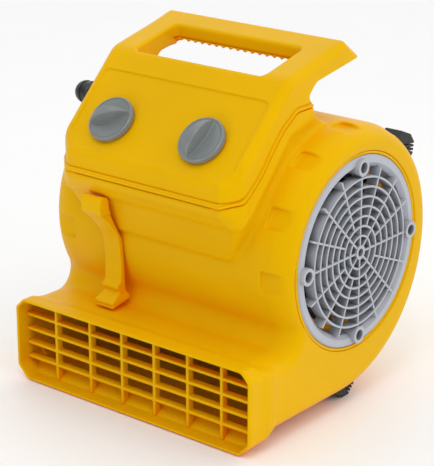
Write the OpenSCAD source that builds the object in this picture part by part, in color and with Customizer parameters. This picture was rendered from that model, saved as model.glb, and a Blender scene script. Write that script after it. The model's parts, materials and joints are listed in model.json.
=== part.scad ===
// Air mover: low-profile centrifugal floor dryer with a carry-handle control console.
// Units mm. X right, front outlet toward -Y, Z up. Origin: centre of the footprint, on the ground.

/* [Overall] */
// half of the overall width
half_width = 145; // [120:1:180]
// front face of the outlet, measured from the origin
front_y = -139.5; // [-170:0.5:-110]
// wall thickness of the moulded shells
wall = 3; // [2:0.1:5]
// rounding of the housing's long outer edges
edge_round = 12; // [4:0.5:16]
// how far the middle of the housing stands proud of its edges
crown = 3.8; // [0:0.1:8]
// radius of the shoulder that leads down from the crown
crown_round = 34; // [20:1:60]

/* [Fan scroll] */
// fan axis, Y
fan_y = 21.8; // [0:0.1:40]
// fan axis height
fan_z = 152.2; // [130:0.1:180]
// radius of the upper scroll
scroll_r = 110.5; // [95:0.5:130]
// upper scroll centre ahead of the fan axis, Y and Z
scroll_off = [6.5, 3]; // [-20:0.1:20]
// radius of the wider lower rear scroll
belly_r = 135.5; // [120:0.5:150]
// centre of the lower rear scroll from the fan axis, Y and Z
belly_off = [-17.8, -2.9]; // [-30:0.1:30]
// angle where the two scroll arcs meet
belly_angle = 13.64; // [0:0.01:40]

/* [Outlet duct] */
// top of the duct behind the flange
duct_top = 78.5; // [60:0.5:100]
// top of the outlet flange
flange_top = 84.5; // [70:0.5:110]
// depth of the flange from the front face
flange_depth = 15.5; // [8:0.5:30]
// cut across the flange's lower and upper corners
flange_cut = [13, 10]; // [4:0.5:16]
// fillet between the duct roof and the scroll
throat_round = 18; // [8:0.5:30]
// positions of the vertical bars across the outlet
bar_x = [-103, -58.5, -18, 22, 62.5, 102.5]; // [-130:0.5:130]
// horizontal bars in the outlet grille
bars_h = 4; // [2:1:8]
// pitch of the horizontal bars
bar_pitch = 14.8; // [10:0.1:20]
// height of the lowest horizontal bar
bar_z0 = 19.3; // [10:0.1:30]
// thickness of the outlet bars
bar_t = 3.2; // [1.5:0.1:5]
// recess of the grille behind the front face
bar_recess = 12.5; // [0:0.5:15]
// depth of the outlet bars
bar_depth = 8; // [4:0.5:12]

/* [Side covers and intake grilles] */
// radius of the side cover
cover_r = 111; // [100:0.5:120]
// radius of the intake grille
grille_r = 92; // [80:0.5:100]
// inner radius of the grille rim
grille_rim_r = 81.5; // [70:0.5:90]
// radius of the innermost grille ring
ring_r0 = 15.75; // [10:0.05:25]
// spacing of the grille rings
ring_pitch = 9.3; // [6:0.1:15]
// number of grille rings
rings = 7; // [4:1:9]
// thickness of rings and spokes
rib_t = 1.9; // [1.2:0.1:3]
// radial positions around the grille, every fourth carries a screw boss
spokes = 16; // [8:1:24]
// radius of the ring of screws
grille_screw_r = 82.2; // [60:0.1:90]
// inner radius of the inlet throat
inlet_r = 72; // [50:0.5:80]

/* [Console] */
// half width of the control cover
console_half = 108; // [90:0.5:120]
// half width of the console base
base_half = 109.5; // [90:0.5:122]
// plan chamfer of the front corners
console_chamfer = 17; // [0:0.5:30]
// depth of the recessed control panel
panel_depth = 1.5; // [0.5:0.1:8]
// half width of the recessed control panel
panel_half = 98; // [60:0.5:104]
// half width of the hand opening
hand_half = 77; // [50:0.5:90]

/* [Knobs] */
// knob spacing from the centre
knob_x = 54.2; // [30:0.1:80]
// middle of the pair of knobs across the width
knob_mid = -1.8; // [-10:0.1:10]
// knob position up the sloping panel
knob_s = 38.9; // [20:0.1:80]
// knob radius
knob_r = 23.3; // [15:0.1:32]
// ridge angle of the speed knob, clockwise from up-slope
speed_angle = 63; // [-180:1:180]
// ridge angle of the timer knob, clockwise from up-slope
timer_angle = 11; // [-180:1:180]

/* [Feet] */
// angle of the rear feet about the fan axis
foot_angle = 37.8; // [20:0.1:60]
// radius of the rear feet's soles
foot_r = 135.6; // [125:0.1:150]

/* [Carpet clamp] */
// centre of the clamp across the width
clamp_x = -59.7; // [-100:0.1:100]
// width of the clamp arm
clamp_w = 20.4; // [10:0.1:30]
// width of the clamp's head and foot
clamp_head = 24; // [12:0.5:36]
// hinge pin position, Y and Z
clamp_pin = [-113.5, 190]; // [-300:0.1:300]

/* [Hidden] */
fan = [fan_y, fan_z];
c1 = fan + scroll_off;
c2 = fan + belly_off;
duct_bottom = c2[1] - belly_r;
duct_mid = (duct_top + duct_bottom) / 2;
tip = 0.01;
inner_half = half_width - wall;
throat_z = duct_top + throat_round;
throat_y = c1[0] - sqrt(pow(scroll_r + throat_round, 2) - pow(c1[1] - throat_z, 2));
flange_back = front_y + flange_depth;
panel_c = 357.2;
panel_y0 = -118.2;
s45 = sqrt(0.5);
$fn = 96;

yellow = [0.98, 0.78, 0.05];
deep_yellow = [0.93, 0.66, 0.03];
grey = [0.62, 0.64, 0.68];
knob_grey = [0.46, 0.48, 0.50];
black = [0.06, 0.06, 0.06];
steel = [0.72, 0.73, 0.75];
motor_grey = [0.35, 0.36, 0.38];

// ---------- helpers ----------
module along_x(a, b) translate([a, 0, 0]) rotate([90, 0, 90]) linear_extrude(b - a) children();
module across(h) along_x(-h, h) children();
module along_y(a, b) translate([0, b, 0]) rotate([90, 0, 0]) linear_extrude(b - a) children();
module turned(c) translate([0, c[0], c[1]]) rotate([0, 90, 0]) rotate_extrude() children();
module rod(c, a, b, r) translate([a, c[0], c[1]]) rotate([0, 90, 0]) cylinder(r = r, h = b - a);
module both() { children(); mirror([1, 0, 0]) children(); }

// rounded rectangle from corner p to corner q
module round_rect(p, q, r) {
  translate([p[0] + r, p[1]]) square([q[0] - p[0] - 2 * r, q[1] - p[1]]);
  translate([p[0], p[1] + r]) square([q[0] - p[0], q[1] - p[1] - 2 * r]);
  for (x = [p[0] + r, q[0] - r], y = [p[1] + r, q[1] - r]) translate([x, y]) circle(r);
}

// section of a drum with a crowned rim and rounded edges; edge radius r, half width w
shoulder = crown_round - edge_round;
module drum_section(r, w, e) {
  m = w - e - sqrt(shoulder * shoulder - pow(shoulder - crown, 2));
  o = r + crown - shoulder - e;
  translate([0, -w]) square([r - e, 2 * w]);
  translate([0, -m]) square([r + crown, 2 * m]);
  for (s = [-1, 1]) {
    translate([r - e, s * (w - e)]) circle(e);
    intersection() {
      translate([o, s * m]) circle(shoulder + e);
      polygon([[o, s * m], [o + 3 * shoulder, s * m],
        [o + 3 * (shoulder - crown), s * (m + 3 * (w - e - m))]]);
    }
    polygon([[0, s * m], [o, s * m], [r - e, s * (w - e)], [0, s * (w - e)]]);
  }
}

// rounds the corners of a closed outline; each point is [u, v, radius]
function arc_pts(a, b, c, r, n) =
  let (u = (a - b) / norm(a - b), v = (c - b) / norm(c - b), k = acos(u * v),
    d = r / tan(k / 2), p = b + u * d, m = (u + v) / norm(u + v), o = b + m * r / sin(k / 2),
    w = p - o, side = -sign(cross(u, v)), sweep = 180 - k)
  [for (i = [0:n]) let (t = side * sweep * i / n)
    o + [w[0] * cos(t) - w[1] * sin(t), w[0] * sin(t) + w[1] * cos(t)]];
function smooth(p, n = 5) = [for (i = [0:len(p) - 1])
  let (q = p[i], a = p[(i + len(p) - 1) % len(p)], c = p[(i + 1) % len(p)])
  each (q[2] > 0 ? arc_pts([a[0], a[1]], [q[0], q[1]], [c[0], c[1]], q[2], n) : [[q[0], q[1]]])];

// rectangle from p to q with its corners cut off, c[0] at the bottom and c[1] at the top
module cut_rect(p, q, c, r) polygon(smooth([[p[0] + c[0], p[1], r], [q[0] - c[0], p[1], r],
  [q[0], p[1] + c[0], r], [q[0], q[1] - c[1], r], [q[0] - c[1], q[1], r],
  [p[0] + c[1], q[1], r], [p[0], q[1] - c[1], r], [p[0], p[1] + c[0], r]]));

// quarter-round cutter along a straight outline edge p to q, for the side face at x
module edge_cut(p, q, r, x) {
  d = q - p;
  l = norm(d);
  translate([x, p[0], p[1]]) rotate([atan2(d[1], d[0]), 0, 0]) translate([0, -2, 0])
    rotate([-90, 0, 0]) linear_extrude(l + 4) difference() {
      translate([-r, -4]) square([r + 4, r + 4]);
      translate([-r, r]) circle(r);
    }
}

// ---------- housing outlines ----------
// wedge of the belly disc that lies behind and below the fan
module belly_wedge() across(200) polygon([[c2[0], c2[1]], [c2[0], -60], [320, -60],
  [320, c2[1] + (320 - c2[0]) * tan(belly_angle)]]);

module body_form(t) {
  turned(c1) drum_section(scroll_r - t, half_width - t, edge_round - t);
  intersection() {
    turned(c2) drum_section(belly_r - t, half_width - t, edge_round - t);
    belly_wedge();
  }
  along_y(flange_back - 2 - 20 * sign(t), c2[0] + tip) translate([0, duct_mid])
    for (a = [90, -90]) rotate([0, 0, a])
      drum_section(duct_top - duct_mid - t, half_width - t, edge_round - t);
}

// fills the corner between the duct roof and the scroll, keeping the edge rounding
module throat_fill() difference() {
  across(half_width) polygon([[throat_y, duct_top - edge_round - 2], [throat_y, throat_z], c1,
    [c1[0], duct_top - edge_round - 2]]);
  turned([throat_y, throat_z]) difference() {
    translate([0, -half_width - 1]) square([throat_round + edge_round, 2 * half_width + 2]);
    translate([throat_round + 60, 0]) mirror([1, 0]) drum_section(60, half_width, edge_round);
  }
}

// outlet flange: a proud bead round the mouth of the duct
module flange() intersection() {
  along_y(front_y, -100) cut_rect([-half_width, 0], [half_width, flange_top], flange_cut, 5);
  across(half_width + 1) polygon(smooth([[front_y, 0, 2], [flange_back, 0, 5],
    [-109, duct_bottom + 0.5, 5], [-104, duct_bottom + 5, 0], [-104, duct_top - 5, 0],
    [flange_back + 7, duct_top - 0.5, 4], [flange_back - 1, flange_top, 5],
    [front_y, flange_top, 2]]));
}

module mouth(gap = 0) intersection() {
  along_y(front_y - 1, -104) cut_rect([gap - inner_half, wall + gap],
    [inner_half - gap, flange_top - wall - gap], flange_cut - [1, 1] * (1.8 + 0.6 * gap), 4);
  across(half_width) polygon([[front_y - 1, 0], [flange_back - 4.2, 0],
    [-110.5 + gap, duct_bottom + wall + 1.5 * gap], [-95, duct_bottom + wall + gap],
    [-95, duct_top - wall - gap], [flange_back + 6, duct_top - wall - gap],
    [flange_back - 2, flange_top - gap], [front_y - 1, flange_top]]);
}

// ---------- console outlines (Y, Z) ----------
// lower edge of the cover, front to rear, lowered square to itself by d
function seam(d) = [[-118.4, 222 - d, 0], [-104.2 + 0.4 * d, 226 - 0.9 * d, 10],
  [-92.2 + 0.66 * d, 235 - 0.75 * d, 0], [-79.2 + 0.72 * d, 246 - 0.69 * d, 0],
  [-65.2 + 0.72 * d, 263 - 0.69 * d, 0], [-49.2 + 0.64 * d, 279.5 - 0.77 * d, 0],
  [-28 + 0.3 * d, 293.6 - d, 14], [-2.6, 293.6 - d, 0]];
function backwards(p) = [for (i = [len(p) - 1:-1:0]) p[i]];
cover_side = smooth(concat([[-118.4, 239, 7], [-36, 321.2, 22], [48, 341, 3],
  [70.8, 322.6, 2], [36.8, 317, 0], [3, 311.5, 14], [-9.5, 299, 5]], backwards(seam(0))));
cover_void = smooth([[-115.2, 200, 0], [-115.2, 240, 5], [-36.8, 317.2, 18], [46.8, 337.2, 2],
  [65, 324.6, 1], [36.8, 320, 0], [0, 314, 16], [-15, 296.5, 3], [-15, 270, 0], [-60, 200, 0]]);
bead_side = smooth(concat(seam(0.5), backwards(seam(4))));
base_side = smooth(concat(seam(4.5), [[0, 284, 3], [-3, 276, 6], [-36, 268, 8], [-60, 240, 0],
  [-90, 208, 8], [-104.6, 196, 10], [-118.4, 212.5, 10]]));
neck_side = smooth([[-112, 204, 6], [-104.6, 196, 12], [-98, 180, 30], [-91, 161, 4],
  [-60, 154, 0], [20, 235, 0], [26, 262, 0], [0, 284, 4], [-8, 286, 0], [-40, 272, 0],
  [-70, 240, 0], [-96, 212, 0]]);
console_void = smooth([[-115.6, 230, 0], [-115.6, 214.8, 6], [-101.8, 198.4, 8],
  [-95, 181, 24], [-88.2, 164.2, 3], [-57, 164.2, 0], [17, 240, 0], [22.5, 260, 0],
  [-1, 281, 4], [-6, 300, 0], [-60, 300, 0], [-100, 250, 0]]);

// plan limits of the console: straight sides, chamfered front corners
module plan(h, front, c) translate([0, 0, 100]) linear_extrude(280) polygon([[-h, 120], [-h,
  front + c], [c - h, front], [h - c, front], [h, front + c], [h, 120]]);

// sides of the neck, leaning outward toward the top, moved in by t
module neck_sides(t) along_y(-125, 60) polygon([[t - 73.9, 140], [73.9 - t, 140],
  [158 - t, 300], [t - 158, 300]]);

// frame lying in the sloping panel: X across, Y up-slope, Z outward
module panel_frame(x = 0, s = 0) translate([x, panel_y0 + s * s45, panel_y0 + panel_c + s * s45])
  rotate([45, 0, 0]) children();

pocket_angles = [182.8, 151.2, 119.9, 88.5, 57];
// blocks of width w around the scroll, from lift above its edge radius
module pockets(x, dx, lift, dr, w) both() for (a = pocket_angles)
  translate([0, fan_y, fan_z]) rotate([a, 0, 0]) {
    d = scroll_off * [cos(a), sin(a)];
    r = d + sqrt(scroll_r * scroll_r - pow(norm(scroll_off), 2) + d * d);
    translate([x, r + lift, -w / 2]) cube([dx, dr, w]);
  }

grille_screw_angles = [0, 90, 180, 270];

module housing_shell() color(yellow) {
  difference() {
    union() {
      difference() {
        union() { body_form(0); throat_fill(); flange(); }
        body_form(wall);
        mouth();
      }
      // ledges behind the side covers
      intersection() {
        body_form(0);
        both() difference() {
          rod(fan, inner_half - 3.7, inner_half, cover_r + 3);
          rod(fan, inner_half - 5, inner_half + 1, cover_r - 7.5);
        }
      }
      intersection() { body_form(0); pockets(111, 24, -3, 4, 25); }
      // console base standing on the scroll
      difference() {
        union() {
          intersection() { across(base_half) polygon(base_side);
            plan(base_half, -119, console_chamfer); }
          intersection() { across(107) polygon(neck_side); plan(107, -119, console_chamfer);
            neck_sides(0); }
        }
        intersection() { across(98) polygon(console_void); plan(98, -115.8, console_chamfer - 1);
          neck_sides(3.5); }
        rod(c1, -150, 150, scroll_r + crown - wall / 2);
        gland_clearance();
      }
    }
    // seats for the side covers
    both() rod(fan, inner_half - 0.7, half_width + 1, cover_r + 0.3);
    pockets(113.5, 28, 0, 12, 20);
    // wiring hole from the console to the motor
    translate([-85, -30, 235]) cylinder(r = 8, h = 30);
    // slot that takes the tail of the clamp's lug
    translate([clamp_x - 3.1, -106, clamp_pin[1] - 2.6]) cube([6.2, 12, 5.2]);
  }
}

// ---------- side cover with the inlet throat ----------
module side_cover() {
  difference() {
    union() {
      intersection() {
        body_form(0);
        difference() {
          rod(fan, inner_half - 0.6, half_width + 1, cover_r);
          rod(fan, inner_half - 5, half_width + 2, grille_r + 0.5);
        }
      }
      // turned inlet: collar, shelf and curled throat
      difference() {
        rod(fan, 126, half_width - 0.4, grille_r + 3);
        rod(fan, 128.5, half_width + 2, grille_r + 0.5);
        rod(fan, 120, 130, inlet_r + 6);
      }
      turned(fan) difference() {
        translate([inlet_r, 119]) square([8.5, 9.5]);
        translate([inlet_r + 8.5, 119]) circle(6);
        translate([inlet_r + 2.5 - tip, 118]) square([6.1, 1]);
      }
      // locating spigot inside the housing opening
      intersection() {
        body_form(wall + 0.4);
        difference() {
          rod(fan, 135.3, inner_half, cover_r - 8);
          rod(fan, 130, half_width, cover_r - 10.5);
        }
      }
      for (a = grille_screw_angles) translate([0, fan_y, fan_z]) rotate([a, 0, 0])
        translate([121, grille_screw_r, 0]) rotate([0, 90, 0]) cylinder(r = 5, h = 6);
    }
    for (a = grille_screw_angles) translate([0, fan_y, fan_z]) rotate([a, 0, 0])
      translate([119.5, grille_screw_r, 0]) rotate([0, 90, 0]) cylinder(r = 1.7, h = 12);
  }
}
module side_cover_right() color(yellow) side_cover();
module side_cover_left() color(yellow) mirror([1, 0, 0]) side_cover();

// ---------- intake grille ----------
module grille_ring(r, t, a, b) difference() {
  rod([0, 0], a, b, r + t / 2);
  rod([0, 0], a - 1, b + 1, r - t / 2);
}
module intake_grille() translate([0, fan_y, fan_z]) difference() {
  union() {
    // rim with a sloping inner wall
    rotate([0, 90, 0]) rotate_extrude() polygon([[grille_r, 129], [grille_r, 143.5],
      [grille_r - 1.5, half_width], [grille_rim_r + 3, half_width], [grille_rim_r - 1, 141],
      [grille_rim_r - 3.5, 129], [grille_rim_r - 1, 128.7]]);
    for (k = [0:rings - 1]) grille_ring(ring_r0 + k * ring_pitch, rib_t, 136.5, 147.5);
    grille_ring(5.4, 3, 136, 148);
    // half of the spokes start at the hub, the rest at the second ring
    for (i = [0:spokes - 1]) rotate([i * 360 / spokes, 0, 0]) {
      from = i % 2 == 0 ? 5.6 : ring_r0 + ring_pitch;
      to = i % 4 == 0 ? grille_screw_r - 6.5 : grille_rim_r - 0.5;
      translate([136, from, -rib_t / 2]) cube([11.2, to - from, rib_t]);
    }
    for (a = grille_screw_angles) rotate([a, 0, 0]) translate([128.7, grille_screw_r, 0])
      rotate([0, 90, 0]) cylinder(r = 8.2, h = 20.5);
  }
  for (a = grille_screw_angles) rotate([a, 0, 0]) translate([0, grille_screw_r, 0])
    rotate([0, 90, 0]) {
      translate([0, 0, 138]) cylinder(r = 5.2, h = 14);
      translate([0, 0, 120]) cylinder(r = 2.2, h = 30);
    }
}
module intake_grille_right() color(grey) intake_grille();
module intake_grille_left() color(grey) mirror([1, 0, 0]) intake_grille();

module screw(head_r, head_h, r, l) {
  difference() {
    cylinder(r = head_r, h = head_h);
    for (a = [0, 90]) rotate([0, 0, a]) translate([-head_r * 0.6, -0.5, head_h - 1])
      cube([head_r * 1.2, 1, 2]);
  }
  translate([0, 0, -l]) cylinder(r = r, h = l + tip);
}
module grille_screws() translate([0, fan_y, fan_z]) for (a = grille_screw_angles)
  rotate([a, 0, 0]) translate([138, grille_screw_r, 0]) rotate([0, 90, 0])
    screw(4.2, 2.6, 1.65, 16);
module grille_screws_right() color(steel) grille_screws();
module grille_screws_left() color(steel) mirror([1, 0, 0]) grille_screws();

// ---------- outlet grille ----------
grille_front = front_y + bar_recess;
module outlet_grille() color(yellow) intersection() {
  mouth(0.2);
  along_y(grille_front, grille_front + bar_depth) {
    for (x = bar_x) translate([x - bar_t / 2, 0]) square([bar_t, flange_top]);
    for (i = [0:bars_h - 1]) translate([-half_width, bar_z0 + i * bar_pitch - bar_t / 2])
      square([2 * half_width, bar_t]);
  }
}

// ---------- control cover with the carry handle ----------
hand_hole = smooth([[-35.2, 360, 0], [-35.2, 318.5, 5], [-9, 299.5, 4], [-3.2, 293.7, 0],
  [-3.2, 280, 0], [40, 280, 0], [40, 310, 0], [23.2, 315, 0], [23.2, 360, 0]]);
module hand_plan() translate([0, 0, 270]) linear_extrude(100)
  round_rect([-hand_half, -35.2], [hand_half, 23.2], 6);

module control_cover() color(yellow) difference() {
  union() {
    difference() {
      intersection() { across(console_half) polygon(cover_side);
        plan(console_half, -118.2, console_chamfer); }
      difference() {
        intersection() { across(console_half - wall) polygon(cover_void);
          plan(console_half - wall, -115.2, console_chamfer - 1); }
        // walls round the hand opening and behind the recessed panel
        across(hand_half + wall) polygon([[-38.4, 360], [-38.4, 314], [-11, 293],
          [26.2, 293], [26.2, 360]]);
        panel_frame() translate([-panel_half - 3, 2, -panel_depth - wall])
          cube([2 * panel_half + 6, 92.5, 20]);
      }
      hollow_bar();
    }
    // bosses that take the shafts' bushings
    for (s = [-1, 1]) panel_frame(knob_mid + s * knob_x, knob_s)
      translate([0, 0, -panel_depth - wall - 3]) cylinder(r = 12, h = 5);
  }
  // recessed control panel
  panel_frame() translate([0, 0, -panel_depth]) linear_extrude(20)
    round_rect([-panel_half, 6], [panel_half, 91.2], 6);
  intersection() { across(hand_half + tip) polygon(hand_hole); hand_plan(); }
  // the bar is thinner than the cheeks that carry it
  across(hand_half) polygon([[15, 290], [15, 321], [26.3, 323.2], [26.3, 290]]);
  for (s = [-1, 1]) panel_frame(knob_mid + s * knob_x, knob_s) translate([0, 0, -30])
    cylinder(r = 5.2, h = 40);
  // rounded outer edges
  both() {
    edge_cut([-116, 241.2], [-38, 319.2], 9, console_half);
    edge_cut([-34, 321.6], [48, 341], 9, console_half);
  }
  translate([-console_half, gland_at[0], gland_at[1]]) rotate([0, 90, 0])
    cylinder(r = 7.6, h = 8, center = true);
}
// space inside the handle bar, open underneath
module hollow_bar() across(hand_half + 2) polygon([[26.2, 300], [26.2, 330.6], [46.8, 335.6],
  [63, 324], [63, 300]]);

// underside of the grip with finger scallops
module handle_lower_shell() color(deep_yellow) difference() {
  across(hand_half - 0.3) polygon([[23.3, 319.3], [23.3, 322.4], [26.5, 322.9], [26.5, 326],
    [29, 326.4], [29, 323.7], [55.5, 327.8], [59.3, 326.2], [59.3, 324.9]]);
  for (i = [-7.5:7.5]) translate([i * 8.7, 15, 314.65]) rotate([-81.2, 0, 0])
    cylinder(r = 5.2, h = 60);
  for (x = [-68, 68]) translate([x, 45, 300]) {
    cylinder(r = 1.8, h = 40);
    cylinder(r = 3.5, h = 24.6);
  }
}

module grip_screws() color(steel) for (x = [-68, 68]) translate([x, 45, 324.4])
  rotate([180, 0, 0]) screw(3.2, 1.8, 1.65, 8);

// trim bead between the cover and the console base
module console_bead() color(deep_yellow) difference() {
  intersection() { across(109.5) polygon(bead_side); plan(109.5, -119, console_chamfer); }
  plan(104.5, -114.5, console_chamfer - 1);
  gland_clearance();
}

// ---------- knobs and controls ----------
knob_h = 7;
module knob() translate([0, 0, 0.6 - panel_depth]) difference() {
  union() {
    cylinder(r = knob_r, h = knob_h - 1.2);
    translate([0, 0, knob_h - 1.2 - tip]) cylinder(r1 = knob_r, r2 = knob_r - 1.2, h = 1.2);
    // lens-shaped finger ridge along the knob's own Y
    intersection() {
      translate([0, 0, knob_h - 1.5]) linear_extrude(16) intersection() {
        translate([-58, 0]) circle(61.8);
        translate([58, 0]) circle(61.8);
      }
      translate([0, 0, -2.5]) rotate([0, 90, 0]) cylinder(r = 23.5, h = 60, center = true);
    }
  }
  translate([0, 0, -1]) cylinder(r = 3.05, h = 12);
  translate([0, 0, -1]) cylinder(r = knob_r - 2.4, h = 3.5);
}
module shaft() translate([0, 0, -26]) cylinder(r = 3, h = 34.5);
module place_speed() panel_frame(knob_mid - knob_x, knob_s) children();
module place_timer() panel_frame(knob_mid + knob_x, knob_s) children();
module speed_knob() color(knob_grey) place_speed() rotate([0, 0, -speed_angle]) knob();
module timer_knob() color(knob_grey) place_timer() rotate([0, 0, -timer_angle]) knob();
module speed_shaft() color(steel) place_speed() shaft();
module timer_shaft() color(steel) place_timer() shaft();

// body, threaded bushing and tabs of a panel-mounted control
control_top = -panel_depth - wall - 3;
module control_body(w, h, d) difference() {
  union() {
    translate([0, 0, control_top - 2]) cylinder(r = 8, h = 2);
    translate([0, 0, control_top - tip]) cylinder(r = 4.9, h = -1.3 - control_top);
    translate([-w / 2, -h / 2, control_top - 2 - d]) cube([w, h, d + tip]);
    for (x = [-w / 3, 0, w / 3]) translate([x - 3, -0.4, control_top - 9 - d])
      cube([6, 0.8, 8]);
  }
  translate([0, 0, -26.5]) cylinder(r = 3.05, h = 40);
}
module control_nut() translate([0, 0, -panel_depth]) difference() {
  cylinder(r = 7.5, h = 2.3, $fn = 6);
  translate([0, 0, -1]) cylinder(r = 4.95, h = 5);
}
module rotary_switch() color(black) place_speed() control_body(34, 34, 20);
module timer_unit() color([0.85, 0.84, 0.8]) place_timer() control_body(42, 36, 23);
module speed_nut() color(steel) place_speed() control_nut();
module timer_nut() color(steel) place_timer() control_nut();

// ---------- cord entry and wiring ----------
gland_at = [-58.5, 277]; // cord entry on the left side, Y and Z
// room round the cord entry in the parts behind it
module gland_clearance() translate([-base_half - 4, gland_at[0], gland_at[1]])
  rotate([0, 90, 0]) cylinder(r = 12.6, h = 14);
module cord_gland() color(black) translate([-console_half, gland_at[0], gland_at[1]])
  rotate([0, -90, 0]) difference() {
    union() {
      translate([0, 0, -8]) cylinder(r = 7.5, h = 9);
      cylinder(r = 12, h = 4, $fn = 6);
      translate([0, 0, 4 - tip]) cylinder(r = 10.6, h = 8);
      rotate_extrude() difference() {
        intersection() {
          translate([0, 11]) circle(11.2);
          translate([0, 11]) square([12, 12]);
        }
        translate([0, 20.5]) square([12, 5]);
      }
    }
    translate([0, 0, -9]) cylinder(r = 4.2, h = 40);
  }
module cord_gland_nut() color(black) translate([-console_half + wall, gland_at[0], gland_at[1]])
  rotate([0, 90, 0]) difference() {
    cylinder(r = 10.5, h = 4, $fn = 6);
    translate([0, 0, -1]) cylinder(r = 7.55, h = 6);
  }
module terminal_block() color([0.9, 0.9, 0.86]) difference() {
  translate([-30, -34, 261.5]) cube([60, 18, 14]);
  for (x = [-24:12:24]) translate([x, -25, 266.5]) cylinder(r = 3, h = 12);
}
cap_at = [-75, 240];
module capacitor() color([0.2, 0.2, 0.22]) {
  rod(cap_at, -26, 24, 15);
  for (s = [-3.5, 3.5]) translate([24 - tip, cap_at[0] + s, cap_at[1]]) rotate([0, 90, 0])
    cylinder(r = 1, h = 7);
}
module capacitor_clip() color(steel) difference() {
  union() {
    rod(cap_at, -6, 6, 16.4);
    translate([-6, cap_at[0], cap_at[1]]) rotate([45, 0, 0]) translate([0, -9, 15.5])
      cube([12, 18, 7]);
  }
  rod(cap_at, -7, 7, 15.05);
}

// ---------- rubber feet ----------
// block with a flat sole, a long ramp toward -Y and a grooved short ramp
foot_side = smooth([[5.2, 0, 1], [13.6, 8.4, 1.5], [15, 30, 0], [-21.5, 30, 0], [-20, 9, 2],
  [-5.2, 0, 1]]);
module foot_block() difference() {
  along_x(112, 131.5) polygon(foot_side);
  // tread grooves along X
  for (i = [0:2]) translate([100, 7 + 2.5 * i, 1.8 + 2.5 * i]) rotate([45, 0, 0])
    translate([0, -0.5, -2.2]) cube([40, 1, 2.6]);
  for (y = [-2.4, 1.6]) translate([100, y, -1]) cube([40, 0.9, 1.9]);
}
module foot_bottom() difference() {
  translate([0, 27, 0]) foot_block();
  turned(c2) drum_section(belly_r, half_width, edge_round);
}
module foot_rear() difference() {
  translate([0, fan_y, fan_z]) rotate([foot_angle, 0, 0]) translate([0, foot_r, 0])
    rotate([88, 0, 0]) mirror([0, 1, 0]) foot_block();
  turned(c1) drum_section(scroll_r, half_width, edge_round);
}
module foot_bottom_right() color(black) foot_bottom();
module foot_bottom_left() color(black) mirror([1, 0, 0]) foot_bottom();
module foot_rear_right() color(black) foot_rear();
module foot_rear_left() color(black) mirror([1, 0, 0]) foot_rear();

// ---------- carpet clamp ----------
// lug on the console base that carries the hinge pin inside the clamp's head
module clamp_bracket() color(deep_yellow) difference() {
  union() {
    rod(clamp_pin, clamp_x - 3, clamp_x + 3, 4.2);
    translate([clamp_x - 3, clamp_pin[0], clamp_pin[1] - 2.5])
      cube([6, -97 - clamp_pin[0], 5]);
  }
  rod(clamp_pin, clamp_x - 30, clamp_x + 30, 2.05);
}
module clamp_hinge_pin() color(steel) rod(clamp_pin, clamp_x - 10.5, clamp_x + 10.5, 2);
module clamp_spring() color(steel) for (s = [-1, 1], x = [4, 5.3, 6.6])
  translate([clamp_x + s * x, clamp_pin[0], clamp_pin[1]]) rotate([0, 90, 0])
    rotate_extrude() translate([2.9, 0]) circle(0.5, $fn = 24);
clamp_side = smooth([[-108, 198, 4], [-117, 200, 3.5], [-120.3, 195, 3], [-120, 184, 5],
  [-106, 171, 10], [-93.5, 155, 30], [-90.5, 128, 30], [-91.5, 108, 3], [-98, 104, 3],
  [-92.5, 98, 2], [-105, 90.5, 2], [-105, 84.5, 1], [-86, 87.8, 0], [-79.5, 90, 0.5],
  [-79.5, 92, 1], [-84.5, 100, 4], [-85, 120, 20], [-87.2, 150, 20], [-99, 171, 10], [-106.3, 186, 0]], 4);
module clamp_slice(w, z0, z1) intersection() {
  along_x(clamp_x - w / 2, clamp_x + w / 2) polygon(clamp_side);
  translate([clamp_x - 20, -140, z0]) cube([40, 80, z1 - z0]);
}
module carpet_clamp() color(deep_yellow) difference() {
  union() {
    clamp_slice(clamp_w, 60, 220);
    clamp_slice(clamp_head, 181, 220);
    clamp_slice(clamp_head - 0.6, 60, 95);
  }
  rod(clamp_pin, clamp_x - 10.7, clamp_x + 10.7, 2.06);
  // spring pockets and the slot that lets the lug pass as the clamp swings out
  rod(clamp_pin, clamp_x - 7.5, clamp_x + 7.5, 4.6);
  along_x(clamp_x - 3.4, clamp_x + 3.4) polygon([[-113.5, 187], [-100, 187], [-100, 204],
    [-109.8, 204], [-116, 191.5]]);
  translate([clamp_x - 20, -106, 86.6]) cube([40, 1.8, 1.2]);
}

// ---------- motor and blower ----------
module tube_x(a, b, ro, ri) difference() {
  rod(fan, a, b, ro);
  rod(fan, a - 1, b + 1, ri);
}
module motor_case() color(motor_grey) {
  tube_x(-98, -30, 46, 43);
  tube_x(-33, -30, 43 + tip, 14.5);
  tube_x(-42, -33 + tip, 17.5, 14.5);
}
module motor_end_bell() color(motor_grey) {
  tube_x(-102, -98, 46, 14.5);
  tube_x(-98 - tip, -88, 17.5, 14.5);
  for (a = [22.5:45:337.5]) translate([-101, fan_y, fan_z]) rotate([a, 0, 0])
    translate([-3, 18, -1.5]) cube([3, 27, 3]);
}
module motor_stator() color([0.55, 0.36, 0.2]) {
  tube_x(-84, -50, 42.8, 30.6);
  tube_x(-92, -84 + tip, 41, 33);
  tube_x(-50 - tip, -42.5, 41, 33);
}
module motor_rotor_core() color(steel) tube_x(-84, -50, 30, 6);
module bearing(a) {
  tube_x(a, a + 9, 14.5, 11.5);
  tube_x(a + 1, a + 8, 11.5 + tip, 6.05);
}
module bearing_outer() color(steel) bearing(-99);
module bearing_inner() color(steel) bearing(-42);
module motor_mount_ring() color(black) tube_x(-97, -89, 48.6, 46);
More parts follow.
